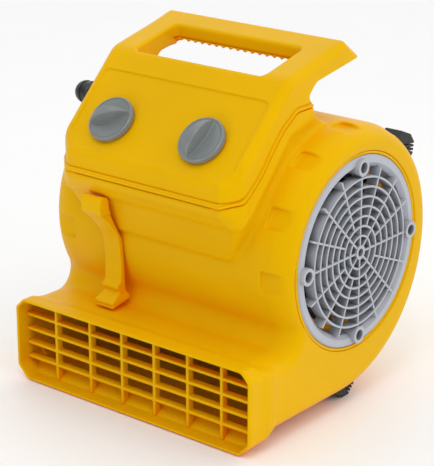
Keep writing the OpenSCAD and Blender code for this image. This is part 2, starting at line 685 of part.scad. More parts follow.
module motor_bracket() color(steel) {
  tube_x(-97, -89, 51.6, 48.6);
  for (a = [45, 135, 225, 315]) translate([0, fan_y, fan_z]) rotate([a, 0, 0])
    translate([0, 0, -8]) linear_extrude(16) polygon([[-89, 50.5], [-89, 53], [-114, 90],
      [-114, 95], [-126, 95], [-126, 84], [-118.3, 84], [-97, 55], [-97, 50.5]]);
}
module fan_shaft() color(steel) rod(fan, -107, 4, 6);
module fan_hub() color([0.75, 0.75, 0.77]) difference() {
  union() {
    rod(fan, -26, 0, 12);
    rod(fan, -17, -13, 26);
  }
  rod(fan, -30, 10, 6);
  translate([-5, fan_y, fan_z]) cylinder(r = 2, h = 20);
}
module hub_screw() color(black) translate([-5, fan_y, fan_z + 6.1]) cylinder(r = 1.9, h = 5);
blades = 32; // blades round the wheel
wheel_r = 80; // outer radius of the wheel
module blower_wheel() color(black) {
  difference() {
    rod(fan, -20, -17, wheel_r);
    rod(fan, -21, -10, 12.1);
  }
  difference() {
    rod(fan, 101, 104, wheel_r + 0.5);
    rod(fan, 100, 105, wheel_r - 16);
  }
  translate([0, fan_y, fan_z]) for (i = [0:blades - 1]) rotate([i * 360 / blades, 0, 0])
    along_x(-17.2, 101.2) polygon([[wheel_r - 15, 4], [wheel_r - 10, 1.2], [wheel_r - 5, 1],
      [wheel_r - 0.6, 3.6], [wheel_r - 0.6, 2], [wheel_r - 5, -0.6], [wheel_r - 10, -0.4],
      [wheel_r - 15, 2.4]]);
}

// ---------- one line per node ----------
housing_shell();
side_cover_right();
side_cover_left();
intake_grille_right();
intake_grille_left();
grille_screws_right();
grille_screws_left();
outlet_grille();
control_cover();
console_bead();
handle_lower_shell();
grip_screws();
speed_knob();
speed_shaft();
rotary_switch();
speed_nut();
timer_knob();
timer_shaft();
timer_unit();
timer_nut();
cord_gland();
cord_gland_nut();
terminal_block();
capacitor();
capacitor_clip();
foot_bottom_right();
foot_bottom_left();
foot_rear_right();
foot_rear_left();
clamp_bracket();
clamp_hinge_pin();
clamp_spring();
carpet_clamp();
motor_case();
motor_end_bell();
motor_stator();
motor_rotor_core();
motor_bracket();
motor_mount_ring();
bearing_inner();
bearing_outer();
fan_shaft();
fan_hub();
hub_screw();
blower_wheel();
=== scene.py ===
import bpy, json, math
import numpy as np
import openvdb
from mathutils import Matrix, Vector


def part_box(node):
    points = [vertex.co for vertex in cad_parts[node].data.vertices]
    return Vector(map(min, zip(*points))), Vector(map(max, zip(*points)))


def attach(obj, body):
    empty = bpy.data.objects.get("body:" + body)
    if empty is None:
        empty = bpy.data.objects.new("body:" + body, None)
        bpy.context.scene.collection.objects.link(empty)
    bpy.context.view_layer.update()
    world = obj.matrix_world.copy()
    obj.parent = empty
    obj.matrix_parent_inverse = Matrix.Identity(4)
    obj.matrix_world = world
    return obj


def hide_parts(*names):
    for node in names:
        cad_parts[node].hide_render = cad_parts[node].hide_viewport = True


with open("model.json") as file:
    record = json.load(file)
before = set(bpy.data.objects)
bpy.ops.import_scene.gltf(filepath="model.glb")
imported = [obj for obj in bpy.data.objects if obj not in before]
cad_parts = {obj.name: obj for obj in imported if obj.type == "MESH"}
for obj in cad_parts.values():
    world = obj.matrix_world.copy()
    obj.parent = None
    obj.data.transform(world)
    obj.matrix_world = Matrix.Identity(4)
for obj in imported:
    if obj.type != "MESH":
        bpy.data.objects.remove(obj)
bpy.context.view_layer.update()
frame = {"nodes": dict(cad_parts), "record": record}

# Shapes below are worked out in millimetres, X right, front outlet toward -Y, Z up, and turned into
# metres when a mesh is made.

# ---------- camera, at the angle the object is seen from ----------
AIM = Vector((-0.02358, 0.0218, 0.13272))
AZ, EL, DIST = math.radians(39.233), math.radians(19.621), 1.7306
SENSOR, LENS = 36.0, 135.5755  # millimetres; the sensor's size is that of the picture's longer side
back = Vector((math.sin(AZ) * math.cos(EL), -math.cos(AZ) * math.cos(EL), math.sin(EL)))
cam = bpy.data.objects.new("camera", bpy.data.cameras.new("camera"))
bpy.context.scene.collection.objects.link(cam)
cam.location = AIM + back * DIST
cam.rotation_euler = (-back).to_track_quat("-Z", "Y").to_euler()
cam.data.sensor_width = SENSOR
cam.data.lens = LENS
cam.data.clip_start = 0.05
bpy.context.scene.camera = cam


# ---------- distance fields: negative inside, in millimetres ----------
class Grid:
    """A block of points, step apart, that a shape's distances are worked out on."""

    def __init__(self, lo, hi, step):
        self.lo, self.step = np.array(lo, float), step
        axes = [np.arange(a, b + step, step, dtype=np.float32) for a, b in zip(lo, hi)]
        self.x, self.y, self.z = np.ix_(*axes)


def rounded(corners, n=6):
    """Closed outline from (u, v, radius) corners, each radius an arc of n steps."""
    out = []
    for i, (u, v, r) in enumerate(corners):
        b = np.array((u, v), float)
        if not r:
            out.append(b)
            continue
        p = np.array(corners[i - 1][:2]) - b
        q = np.array(corners[(i + 1) % len(corners)][:2]) - b
        p, q = p / np.linalg.norm(p), q / np.linalg.norm(q)
        half = math.acos(float(p @ q)) / 2
        centre = b + (p + q) / np.linalg.norm(p + q) * r / math.sin(half)
        s = b + p * r / math.tan(half) - centre
        for t in np.linspace(0, 2 * half - math.pi, n + 1) * np.sign(p[0] * q[1] - p[1] * q[0]):
            out.append(centre + (s[0] * math.cos(t) - s[1] * math.sin(t),
                                 s[0] * math.sin(t) + s[1] * math.cos(t)))
    return out


def arc(centre, r, start, end, n):
    """n points along an arc, from start to end in degrees."""
    t = np.radians(np.linspace(start, end, n))
    return [(centre[0] + r * math.cos(a), centre[1] + r * math.sin(a)) for a in t]


def poly(points, u, v):
    """Distance to a closed outline."""
    u, v = np.broadcast_arrays(u, v)
    d, sign = np.full(u.shape, 1e9), np.ones(u.shape)
    pts = np.array(points, float)
    for a, b in zip(pts, np.roll(pts, 1, axis=0)):
        e = b - a
        if e @ e < 1e-9:
            continue
        wu, wv = u - a[0], v - a[1]
        t = np.clip((wu * e[0] + wv * e[1]) / (e @ e), 0, 1)
        d = np.minimum(d, (wu - e[0] * t) ** 2 + (wv - e[1] * t) ** 2)
        above, below, left = v >= a[1], v < b[1], e[0] * wv > e[1] * wu
        sign = np.where((above & below & left) | ~(above | below | left), -sign, sign)
    return (sign * np.sqrt(d)).astype(np.float32)


def both(a, b, r=0.0):
    """What two shapes share, its edge rounded to radius r."""
    if not np.any(r):
        return np.maximum(a, b)
    return np.minimum(np.maximum(a, b), -r) + np.hypot(np.maximum(a + r, 0), np.maximum(b + r, 0))


def joined(a, b, r=0.0):
    """Two shapes as one, with a fillet of radius r between them."""
    return -both(-a, -b, r)


def cut(a, b, r=0.0):
    """Shape a without shape b."""
    return both(a, -b, r)


def box2(u, v, lo, hi, r=0.0):
    """Rectangle from lo to hi with corners of radius r."""
    p = np.abs(u - (lo[0] + hi[0]) / 2) - (hi[0] - lo[0]) / 2 + r
    q = np.abs(v - (lo[1] + hi[1]) / 2) - (hi[1] - lo[1]) / 2 + r
    return np.minimum(np.maximum(p, q), 0) + np.hypot(np.maximum(p, 0), np.maximum(q, 0)) - r


def between(u, lo, hi):
    """Slab from lo to hi along u."""
    return np.abs(u - (lo + hi) / 2) - (hi - lo) / 2


def sample(d, p):
    """Field d at fractional grid places p."""
    i = np.clip(np.floor(p).astype(int), 0, np.array(d.shape) - 2)
    f = p - i
    total = np.zeros(len(p))
    for a in (0, 1):
        for b in (0, 1):
            for c in (0, 1):
                w = (f[:, 0] if a else 1 - f[:, 0]) * (f[:, 1] if b else 1 - f[:, 1])
                w = w * (f[:, 2] if c else 1 - f[:, 2])
                total += w * d[i[:, 0] + a, i[:, 1] + b, i[:, 2] + c]
    return total


def slope(d, p, e=0.6):
    """Direction in which field d grows at grid places p, measured over e cells each way."""
    g = [sample(d, p + e * axis) - sample(d, p - e * axis) for axis in np.eye(3)]
    return np.stack(g, axis=1) / (2 * e)


def solid(name, grid, d, body, slot, stands_for, place=None):
    """Mesh of the surface of field d, with normals taken from the field itself.
    place turns points from the grid's frame into the object's."""
    reach = 3 * grid.step
    d = np.clip(d, -reach, reach).astype(np.float32)
    vdb = openvdb.FloatGrid()
    vdb.background = reach
    vdb.copyFromArray(d, tolerance=0.0)
    p, tris, quads = vdb.convertToPolygons(isovalue=0.0, adaptivity=0.01)
    d = d / grid.step
    for _ in range(2):  # settle the points on the surface
        g = slope(d, p)
        step = g * (sample(d, p) / np.maximum((g * g).sum(1), 0.3))[:, None]
        p = p - np.clip(step, -0.4, 0.4)
    normal = slope(d, p)
    normal /= np.maximum(np.linalg.norm(normal, axis=1), 1e-6)[:, None]
    co = p * grid.step + grid.lo
    if place is not None:
        co, normal = place(co), place(co + normal) - place(co)
    co = co / 1000

    loops = np.concatenate([quads[:, ::-1].ravel(), tris[:, ::-1].ravel()]).astype(np.int32)
    sizes = np.concatenate([np.full(len(quads), 4), np.full(len(tris), 3)])
    me = bpy.data.meshes.new(name)
    me.vertices.add(len(co))
    me.vertices.foreach_set("co", co.astype(np.float32).ravel())
    me.loops.add(len(loops))
    me.loops.foreach_set("vertex_index", loops)
    me.polygons.add(len(sizes))
    me.polygons.foreach_set("loop_start", (np.cumsum(sizes) - sizes).astype(np.int32))
    me.update(calc_edges=True)
    face = me.polygons[0]
    if Vector(normal[face.vertices[0]]).dot(face.normal) < 0:
        me.flip_normals()
    me.shade_smooth()
    me.normals_split_custom_set_from_vertices(normal.astype(np.float32))
    ob = bpy.data.objects.new(name, me)
    bpy.context.scene.collection.objects.link(ob)
    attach(ob, body)
    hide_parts(*stands_for)
    ob.data.materials.append(MATS[slot])


# ---------- finishes ----------
ROUGH_SPAN = 0.08  # how far roughness varies over one surface


def finish(name, color, rough, metal=0.0, tone=0.04, grain=1600.0, bump=0.1, stretch=(1, 1, 1),
           gloss=0.5, sheen_tint=(1, 1, 1), ior=1.5, crevice_shade=None, reach=0.07):
    """Moulded or machined surface: broad colour drift, patchy roughness and a fine grain.
    The crevice colour argument is painted shade: a deeper colour mixed into the base where faces come nearer
    than reach, in metres, standing in for shade and light bounced between them."""
    m = bpy.data.materials.new(name)
    m.use_nodes = True
    nodes, link = m.node_tree.nodes, m.node_tree.links.new
    p = nodes["Principled BSDF"]
    p.inputs["Metallic"].default_value = metal
    p.inputs["Specular IOR Level"].default_value = gloss
    p.inputs["Specular Tint"].default_value = (*sheen_tint, 1)
    p.inputs["IOR"].default_value = ior
    place = nodes.new("ShaderNodeTexCoord")
    scaled = nodes.new("ShaderNodeMapping")
    scaled.inputs["Scale"].default_value = stretch
    link(place.outputs["Object"], scaled.inputs["Vector"])

    def noise(scale, detail):
        n = nodes.new("ShaderNodeTexNoise")
        n.inputs["Scale"].default_value = scale
        n.inputs["Detail"].default_value = detail
        link(scaled.outputs["Vector"], n.inputs["Vector"])
        return n.outputs["Fac"]

    ramp = nodes.new("ShaderNodeValToRGB")
    for stop, f, at in zip(ramp.color_ramp.elements, (1 - tone, 1 + tone), (0.3, 0.7)):
        stop.position = at
        stop.color = (*[min(c * f, 1.0) for c in color], 1)
    link(noise(9.0, 3.0), ramp.inputs["Fac"])
    tint = ramp.outputs["Color"]
    # painted shade: the base colour turns toward the crevice colour where ambient occlusion finds faces
    # close by
    if crevice_shade:
        crevice_ao = nodes.new("ShaderNodeAmbientOcclusion")
        crevice_ao.samples = 8
        crevice_ao.inputs["Distance"].default_value = reach
        depth = nodes.new("ShaderNodeMapRange")
        depth.inputs["From Min"].default_value = 0.02
        depth.inputs["From Max"].default_value = 0.6
        link(crevice_ao.outputs["AO"], depth.inputs["Value"])
        mix = nodes.new("ShaderNodeMix")
        mix.data_type = "RGBA"
        mix.inputs["A"].default_value = (*crevice_shade, 1)
        link(depth.outputs["Result"], mix.inputs["Factor"])
        link(tint, mix.inputs["B"])
        tint = mix.outputs["Result"]
    link(tint, p.inputs["Base Color"])
    span = nodes.new("ShaderNodeMapRange")
    span.inputs["To Min"].default_value = rough - ROUGH_SPAN / 2
    span.inputs["To Max"].default_value = rough + ROUGH_SPAN / 2
    link(noise(70.0, 4.0), span.inputs["Value"])
    link(span.outputs["Result"], p.inputs["Roughness"])
    relief = nodes.new("ShaderNodeBump")
    relief.inputs["Strength"].default_value = bump
    relief.inputs["Distance"].default_value = 0.0002
    link(noise(grain, 2.0), relief.inputs["Height"])
    link(relief.outputs["Normal"], p.inputs["Normal"])
    return m


# the second colour is painted shade: deeper orange mixed into the yellow plastic's crevices and hollows
YELLOW, SHADE_AMBER = (0.81, 0.455, 0.001), (1.0, 0.3, 0.0)
WARM = (1.0, 0.7, 0.08)
MOULDED = {"gloss": 0.3, "sheen_tint": WARM, "ior": 1.3, "crevice_shade": SHADE_AMBER}
MATS = {
    "housing_yellow": finish("housing_yellow", YELLOW, 0.4, **MOULDED),
    "cover_yellow": finish("cover_yellow", YELLOW, 0.38, grain=1900.0, **MOULDED),
    # grille: painted shade, near-black mixed in on the walls between the rings
    "grille_grey": finish("grille_grey", (0.46, 0.48, 0.53), 0.38, crevice_shade=(0.06, 0.06, 0.065), reach=0.012),
    "knob_grey": finish("knob_grey", (0.2, 0.22, 0.22), 0.24, bump=0.03, gloss=0.6),
    "black_rubber": finish("black_rubber", (0.018, 0.019, 0.02), 0.62, tone=0.2, grain=900.0, bump=0.3),
    "black_nylon": finish("black_nylon", (0.014, 0.015, 0.017), 0.36, tone=0.15),
    "wheel_plastic": finish("wheel_plastic", (0.03, 0.03, 0.033), 0.45, tone=0.12),
    "screw_steel": finish("screw_steel", (0.62, 0.63, 0.65), 0.3, metal=1.0, grain=2600.0,
                          stretch=(1, 0.1, 1)),
    "motor_steel": finish("motor_steel", (0.3, 0.31, 0.33), 0.42, metal=1.0, grain=1200.0,
                          stretch=(0.1, 1, 1)),
    "stator_iron": finish("stator_iron", (0.33, 0.2, 0.11), 0.5, metal=0.7, grain=500.0, stretch=(8, 1, 1),
                          bump=0.4),
    "hub_aluminium": finish("hub_aluminium", (0.76, 0.77, 0.79), 0.34, metal=1.0, grain=2000.0,
                            stretch=(0.1, 1, 1)),
    "control_plastic": finish("control_plastic", (0.3, 0.3, 0.28), 0.45, tone=0.08),
}

# ---------- driving dimensions, as in the frame ----------
def middle(node):
    """Centre of a CAD node's box, in millimetres."""
    lo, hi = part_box(node)
    return (np.array(lo) + np.array(hi)) * 500


FAN = middle("fan_shaft")[1:]
HALF = 145.0  # half of the overall width
FRONT = -139.5  # front face of the outlet
WALL = 3.0
EDGE, CROWN, CROWN_R = 12.0, 3.8, 34.0
SCROLL, SCROLL_R = FAN + (6.5, 3.0), 110.5
BELLY, BELLY_R, BELLY_END = FAN + (-17.8, -2.9), 135.5, 13.64
DUCT_TOP, THROAT_R = 78.5, 18.0
FLANGE_TOP, FLANGE_BACK = 84.5, FRONT + 15.5
COLLAR_R = 95.2  # outside of the collar round each intake grille
PANEL_HALF, HAND_HALF = 98.0, 77.0
CONSOLE_HALF, BASE_HALF, CHAMFER = 108.0, 109.5, 17.0
BASE_FRONT, PANEL_FOOT = -119.0, (-118.2, 239.0)  # panel foot: (y, z) where the sloping panel begins
HAND_FRONT, HAND_REAR = -35.2, 23.2  # hand opening, front to rear
KNOB_UP = 38.9  # knob centres, from the panel's foot up the slope
GLAND, GLAND_ROOM = middle("cord_gland")[1:], 12.6
DIAGONAL = math.sqrt(0.5)
CLAMP_X, CLAMP_PIN = middle("carpet_clamp")[0], middle("clamp_hinge_pin")[1:]


def seam(d):
    """Lower edge of the control cover, front to rear, lowered square to itself by d."""
    return [(-118.4, 222 - d, 0), (-104.2 + 0.4 * d, 226 - 0.9 * d, 10),
            (-92.2 + 0.66 * d, 235 - 0.75 * d, 0), (-79.2 + 0.72 * d, 246 - 0.69 * d, 0),
            (-65.2 + 0.72 * d, 263 - 0.69 * d, 0), (-49.2 + 0.64 * d, 279.5 - 0.77 * d, 0),
            (-28 + 0.3 * d, 293.6 - d, 14), (-2.6, 293.6 - d, 0)]


def plan(g, half, front, chamfer, r):
    """Console seen from above: straight sides and chamfered front corners."""
    return poly(rounded([(-half, 120, 0), (-half, front + chamfer, r), (chamfer - half, front, r),
                         (half - chamfer, front, r), (half, front + chamfer, r), (half, 120, 0)]), g.x, g.y)


def round_gland(g):
    """Distance from the cord entry's axis."""
    return np.hypot(g.y - GLAND[0], g.z - GLAND[1])


def cut_box(g, t, r):
    """Outline of the outlet flange, moved in by t: a rectangle with its corners cut off."""
    w, top, low, high = HALF - t, FLANGE_TOP - t, 13 - 0.6 * t, 10 - 0.6 * t
    return poly(rounded([(low - w, t, r), (w - low, t, r), (w, t + low, r), (w, top - high, r),
                         (w - high, top, r), (high - w, top, r), (-w, top - high, r), (-w, t + low, r)]),
                g.x, g.z)


def round_fan(g):
    """Distance from the fan's axis."""
    return np.hypot(g.y - FAN[0], g.z - FAN[1])


# ---------- housing ----------
def housing():
    """Scroll, duct, outlet flange and the lower half of the console."""
    g = Grid((-147, -142, -2.5), (147, 146, 293), 1.25)
    x = np.abs(g.x)
    throat = (SCROLL[0] - math.sqrt((SCROLL_R + THROAT_R) ** 2 - (SCROLL[1] - DUCT_TOP - THROAT_R) ** 2),
              DUCT_TOP + THROAT_R)
    lean = math.degrees(math.atan2(SCROLL[1] - throat[1], SCROLL[0] - throat[0]))
    outline = (arc(BELLY, BELLY_R, -90, BELLY_END, 60) + arc(SCROLL, SCROLL_R, BELLY_END, 180 + lean, 90)
               + arc(throat, THROAT_R, lean, -90, 16)[1:]
               + [(-122, DUCT_TOP), (-122, BELLY[1] - BELLY_R)])
    edge = poly(outline, g.y, g.z)

    # drum and duct: rounded at the sides, crowned across the middle
    shoulder = CROWN_R - EDGE
    flat = HALF - EDGE - math.sqrt(shoulder ** 2 - (shoulder - CROWN) ** 2)
    lean_in = (HALF - EDGE - flat) / shoulder
    arch = np.hypot(np.maximum(x - flat, 0), np.maximum(edge - CROWN + CROWN_R, 0)) - CROWN_R
    arch = np.maximum(arch, x - flat - CROWN_R * lean_in)
    body = np.minimum(both(edge, x - HALF, EDGE), arch)

    flange2 = poly(rounded([(FRONT, 0, 2), (FLANGE_BACK, 0, 5), (-109, 14.3, 5), (-104, 19, 0),
                            (-104, DUCT_TOP - 5, 0), (FLANGE_BACK + 7, DUCT_TOP - 0.5, 4),
                            (FLANGE_BACK - 1, FLANGE_TOP, 5), (FRONT, FLANGE_TOP, 2)]), g.y, g.z)
    flange = both(flange2, cut_box(g, 0, 5), 2.0)
    shell = joined(body, flange, 5)

    # console base and the neck below it, flowing into the drum
    base2 = poly(rounded([(-3, 276, 6), (-36, 268, 8), (-60, 240, 0), (-90, 208, 8), (-104.6, 196, 10),
                          (-118.4, 212.5, 10), (-118.4, 330, 0), (2, 330, 0), (0, 284, 3)]), g.y, g.z)
    below = poly(rounded(seam(4.5) + [(60, 289, 0), (60, -60, 0), (-180, -60, 0), (-180, 217.5, 0)]),
                 g.y, g.z)
    base = both(both(base2, plan(g, BASE_HALF, BASE_FRONT, CHAMFER, 8), 6), below, 1.0)
    neck2 = poly(rounded([(-112, 204, 6), (-104.6, 196, 12), (-98, 180, 30), (-91, 161, 4), (-60, 154, 0),
                          (20, 235, 0), (26, 262, 0), (0, 284, 4), (-8, 286, 0), (-40, 272, 0),
                          (-70, 240, 0), (-96, 212, 0)]), g.y, g.z)
    neck_side = (x - 87 - (g.z - 165) * 0.526) * 0.885  # leans outward toward the top
    neck = both(both(neck2, neck_side, 5), plan(g, 107, BASE_FRONT, CHAMFER, 10), 2)
    console = joined(base, neck, 6)
    shell = joined(shell, console, 5)
    shell = cut(shell, both(-below, both(plan(g, BASE_HALF + 0.4, BASE_FRONT - 0.4, CHAMFER, 8), g.y - 4)))

    # rooms inside; behind the flange the mouth leaves the duct's own wall whole
    mouth2 = poly([(FRONT - 4, -6), (FLANGE_BACK - 4.2, 0), (-110.5, 14.8), (-95, 16.8),
                   (-95, DUCT_TOP - WALL), (FLANGE_BACK, DUCT_TOP - WALL), (FLANGE_BACK - 5, FLANGE_TOP),
                   (FRONT - 4, FLANGE_TOP + 3)], g.y, g.z)
    mouth = np.maximum(both(mouth2, cut_box(g, WALL, 4)), np.minimum(g.y + 108, body + 2.2))
    from_scroll = np.hypot(g.y - SCROLL[0], g.z - SCROLL[1]) - SCROLL_R
    throat_corner = np.minimum(np.minimum(from_scroll, g.z - DUCT_TOP), -g.y)
    void = both(body + WALL, throat_corner + WALL - CROWN)
    d = cut(shell, np.minimum(void, mouth), 0.8)
    room2 = poly(rounded([(-115.6, 230, 0), (-115.6, 214.8, 6), (-101.8, 198.4, 8), (-95, 181, 24),
                          (-88.2, 164.2, 3), (-57, 164.2, 0), (17, 240, 0), (22.5, 260, 0), (-1, 281, 4),
                          (-6, 300, 0), (-60, 300, 0), (-100, 250, 0)]), g.y, g.z)
    room = both(both(room2, plan(g, 98, -115.8, CHAMFER - 1, 4)), neck_side + 3.3)
    d = cut(d, both(room, CROWN - 1.2 - from_scroll))

    # the side wall runs in to the collar of the inlet
    r = round_fan(g)
    d = cut(d, np.maximum(r - COLLAR_R - 0.2, 118 - x), 0.8)

    # pockets round the edge of the scroll
    off = SCROLL - FAN
    for a in np.radians([182.8, 151.2, 119.9, 88.5, 57.0]):
        e = np.array((math.cos(a), math.sin(a)))
        floor = off @ e + math.sqrt(SCROLL_R ** 2 - off @ off + (off @ e) ** 2)
        out = (g.y - FAN[0]) * e[0] + (g.z - FAN[1]) * e[1] - floor
        aside = np.abs((g.z - FAN[1]) * e[0] - (g.y - FAN[0]) * e[1])
        backing = np.maximum(np.maximum(between(x, 111, 135), aside - 12.5), between(out, -3, 1))
        d = np.minimum(d, both(body, backing))
        d = cut(d, both(both(between(x, 113.5, 142), aside - 10, 2.5), -out, 2), 1.2)

    # slot for the clamp's lug and room for the cord entry
    slot = np.maximum(np.abs(g.x - CLAMP_X) - 3.1, np.abs(g.z - CLAMP_PIN[1]) - 2.6)
    d = cut(d, np.maximum(slot, between(g.y, -106, -94)))
    d = cut(d, np.maximum(round_gland(g) - GLAND_ROOM, between(g.x, -114, -99.5)))
    solid("housing_shell_moulded", g, d, "housing", "housing_yellow", ["housing_shell"])


# ---------- control cover with the carry handle ----------
def control_cover():
    """Sloping panel and the carry handle above it."""
    g = Grid((-110, -120.5, 219), (110, 73, 344), 0.9)
    top = poly(rounded([(-118.4, 100, 0), (-118.4, 239, 7), (-36, 321.2, 22), (48, 341, 3), (150, 258.6, 0),
                        (150, 100, 0)], 10), g.y, g.z)
    under = poly(rounded(seam(0) + [(-9.5, 299, 5), (3, 311.5, 14), (36.8, 317, 0), (70.8, 322.6, 0),
                                    (110, 329, 0), (110, 420, 0), (-160, 420, 0), (-160, 222, 0)]), g.y, g.z)
    soft = np.clip(9 - (g.y - 25) * 0.1, 5.0, 9.0)
    d = both(both(top, plan(g, CONSOLE_HALF, -118.2, CHAMFER, 7), soft), under, 1.0)

    # room inside, kept clear of the hand opening's walls, the panel and the handle's bar
    void2 = poly(rounded([(-115.2, 200, 0), (-115.2, 240, 5), (-36.8, 317.2, 18), (46.8, 337.2, 2),
                          (65, 324.6, 1), (36.8, 320, 0), (0, 314, 16), (-15, 296.5, 3), (-15, 270, 0),
                          (-60, 200, 0)]), g.y, g.z)
    void = both(both(void2, plan(g, CONSOLE_HALF - WALL, -115.2, CHAMFER - 1, 4)), d + WALL)
    walls = poly([(-38.4, 360), (-38.4, 314), (-11, 293), (26.2, 293), (26.2, 360)], g.y, g.z)
    void = cut(void, np.maximum(walls, np.abs(g.x) - HAND_HALF - WALL))
    s = ((g.y - PANEL_FOOT[0]) + (g.z - PANEL_FOOT[1])) * DIAGONAL  # up the sloping panel
    n = ((g.z - PANEL_FOOT[1]) - (g.y - PANEL_FOOT[0])) * DIAGONAL  # out of it
    void = cut(void, both(box2(g.x, s, (-101, 2), (101, 94.5)), -4.5 - n))
    bar = np.maximum(poly([(26.2, 300), (26.2, 330.6), (46.8, 335.6), (63, 324), (63, 300)], g.y, g.z),
                     np.abs(g.x) - HAND_HALF - 2)
    d = cut(d, np.minimum(void, bar))

    # recessed panel, hand opening and the holes behind the knobs and the cord entry
    d = cut(d, both(box2(g.x, s, (-PANEL_HALF, 6), (PANEL_HALF, 91.2), 6), -1.5 - n), 0.9)
    hole = poly(rounded([(HAND_FRONT, 360, 0), (HAND_FRONT, 318.5, 5), (-9, 299.5, 4),
                         (-3.2, 293.7, 0), (-3.2, 280, 0), (40, 280, 0), (40, 310, 0),
                         (HAND_REAR, 315, 0), (HAND_REAR, 360, 0)]), g.y, g.z)
    hole = both(hole, box2(g.x, g.y, (-HAND_HALF, HAND_FRONT), (HAND_HALF, HAND_REAR), 6))
    d = cut(d, hole, 3.0)
    below_bar = poly([(15, 290), (15, 321), (26.3, 323.2), (26.3, 290)], g.y, g.z)
    d = cut(d, np.maximum(below_bar, np.abs(g.x) - HAND_HALF), 0.6)  # the bar is thinner than its cheeks
    for knob in ("speed_knob", "timer_knob"):
        d = cut(d, np.maximum(np.hypot(g.x - middle(knob)[0], s - KNOB_UP) - 5.2, np.abs(n) - 30))
    d = cut(d, np.maximum(round_gland(g) - 7.6, g.x + 104))
    solid("control_cover_moulded", g, d, "housing", "cover_yellow", ["control_cover"])


def console_bead():
    """Trim bead with a groove above and below it."""
    g = Grid((-110.5, -120, 213), (110.5, 1, 295), 0.7)

    def band(a, b, half, front, r):
        side = poly(rounded(seam(a) + seam(b)[::-1]), g.y, g.z)
        return both(side, plan(g, half, front, CHAMFER, 6), r)

    d = joined(band(1.1, 3.6, BASE_HALF, BASE_FRONT, 1.0), band(0.1, 4.6, 107.2, -116.8, 0), 0.3)
    d = cut(d, plan(g, 103.5, -113.5, CHAMFER - 1, 4))
    d = cut(d, np.maximum(round_gland(g) - GLAND_ROOM, g.x + 99.5))
    solid("console_bead_moulded", g, d, "housing", "cover_yellow", ["console_bead"])


def grip():
    """Underside of the carry handle, scalloped for the fingers."""
    g = Grid((-78, 22, 318), (78, 61, 330), 0.6)
    side = poly([(23.3, 319.3), (23.3, 322.4), (26.5, 322.9), (26.5, 326), (29, 326.4), (29, 323.7),
                 (55.5, 327.8), (59.3, 326.2), (59.3, 324.9)], g.y, g.z)
    d = both(side, np.abs(g.x) - HAND_HALF + 0.3, 0.6)
    lean = math.radians(81.2)
    off = (g.z - 314.65) * math.sin(lean) - (g.y - 15) * math.cos(lean)
    for i in np.arange(-7.5, 8):
        d = cut(d, np.hypot(g.x - i * 8.7, off) - 5.2, 0.5)
    for x in (-68, 68):
        d = cut(d, np.hypot(g.x - x, g.y - 45) - 3.5)
    solid("handle_lower_shell_moulded", g, d, "housing", "cover_yellow", ["handle_lower_shell"])


def side_cover(node, side):
    """Inlet turned about the fan's axis: collar, shelf and curled throat."""
    ends = sorted((side * 117.5, side * 146))
    g = Grid((ends[0], FAN[0] - 97, FAN[1] - 97), (ends[1], FAN[0] + 97, FAN[1] + 97), 0.85)
    x, r = np.abs(g.x), round_fan(g)
    collar = np.maximum(between(r, 92.4, COLLAR_R), between(x, 126, 144.2))
    shelf = np.maximum(between(r, 78, COLLAR_R), between(x, 126, 128.4))
    throat = cut(both(between(r, 72.1, 81), between(x, 119.1, 128.4), 2), np.hypot(r - 81, x - 119) - 6)
    d = np.minimum(joined(shelf, throat, 1), collar)
    solid(node + "_moulded", g, d, "housing", "cover_yellow", [node])


def outlet_grille():
    """Thin upright and level bars set back in the mouth of the duct."""
    bar, depth, face = 3.2, 8.0, FRONT + 12.5
    g = Grid((-143, face - 1, 2), (143, face + depth + 1, 83), 0.75)
    upright = np.minimum.reduce([np.abs(g.x - x) for x in (-103, -58.5, -18, 22, 62.5, 102.5)]) - bar / 2
    level = np.minimum.reduce([np.abs(g.z - 19.3 - i * 14.8) for i in range(4)]) - bar / 2
    d = both(joined(upright, level, 0.8), between(g.y, face, face + depth), 0.7)
    d = both(d, cut_box(g, WALL + 0.2, 4))
    solid("outlet_grille_moulded", g, d, "housing", "cover_yellow", ["outlet_grille"])


def knob(node, turn):
    """Pointer knob with a lens-shaped ridge, made flat and then laid on the sloping panel."""
    g = Grid((-25, -25, -1), (25, 25, 22.5), 0.45)
    r = np.hypot(g.x, g.y)
    disc = both(r - 23.3, between(g.z, 0, 7), 2.2)
    disc = cut(disc, both(r - 21.0, 6.4 - g.z, 0.5), 0.5)  # shallow dish inside the rim
    lens = np.maximum(np.hypot(g.x + 58, g.y), np.hypot(g.x - 58, g.y)) - 61.8
    arch = np.hypot(g.y, g.z + 2.5) - 23.5
    ridge = both(both(lens, arch, 1.5), 2 - g.z)
    d = joined(disc, both(ridge, r - 23.0, 0.5), 0.6)
    d = cut(d, np.maximum(r - 3.05, g.z - 11))
    d = cut(d, np.maximum(r - 20.9, g.z - 2.5))
    x0, a = middle(node)[0], math.radians(-turn)

    def place(p):
        u = p[:, 0] * math.cos(a) - p[:, 1] * math.sin(a)
        up = KNOB_UP + p[:, 0] * math.sin(a) + p[:, 1] * math.cos(a)
        out = p[:, 2] - 0.9
        return np.stack([x0 + u, PANEL_FOOT[0] + DIAGONAL * (up - out),
                         PANEL_FOOT[1] + DIAGONAL * (up + out)], axis=1)

    body = node.replace("knob", "control")
    solid(node + "_moulded", g, d, body, "knob_grey", [node], place=place)


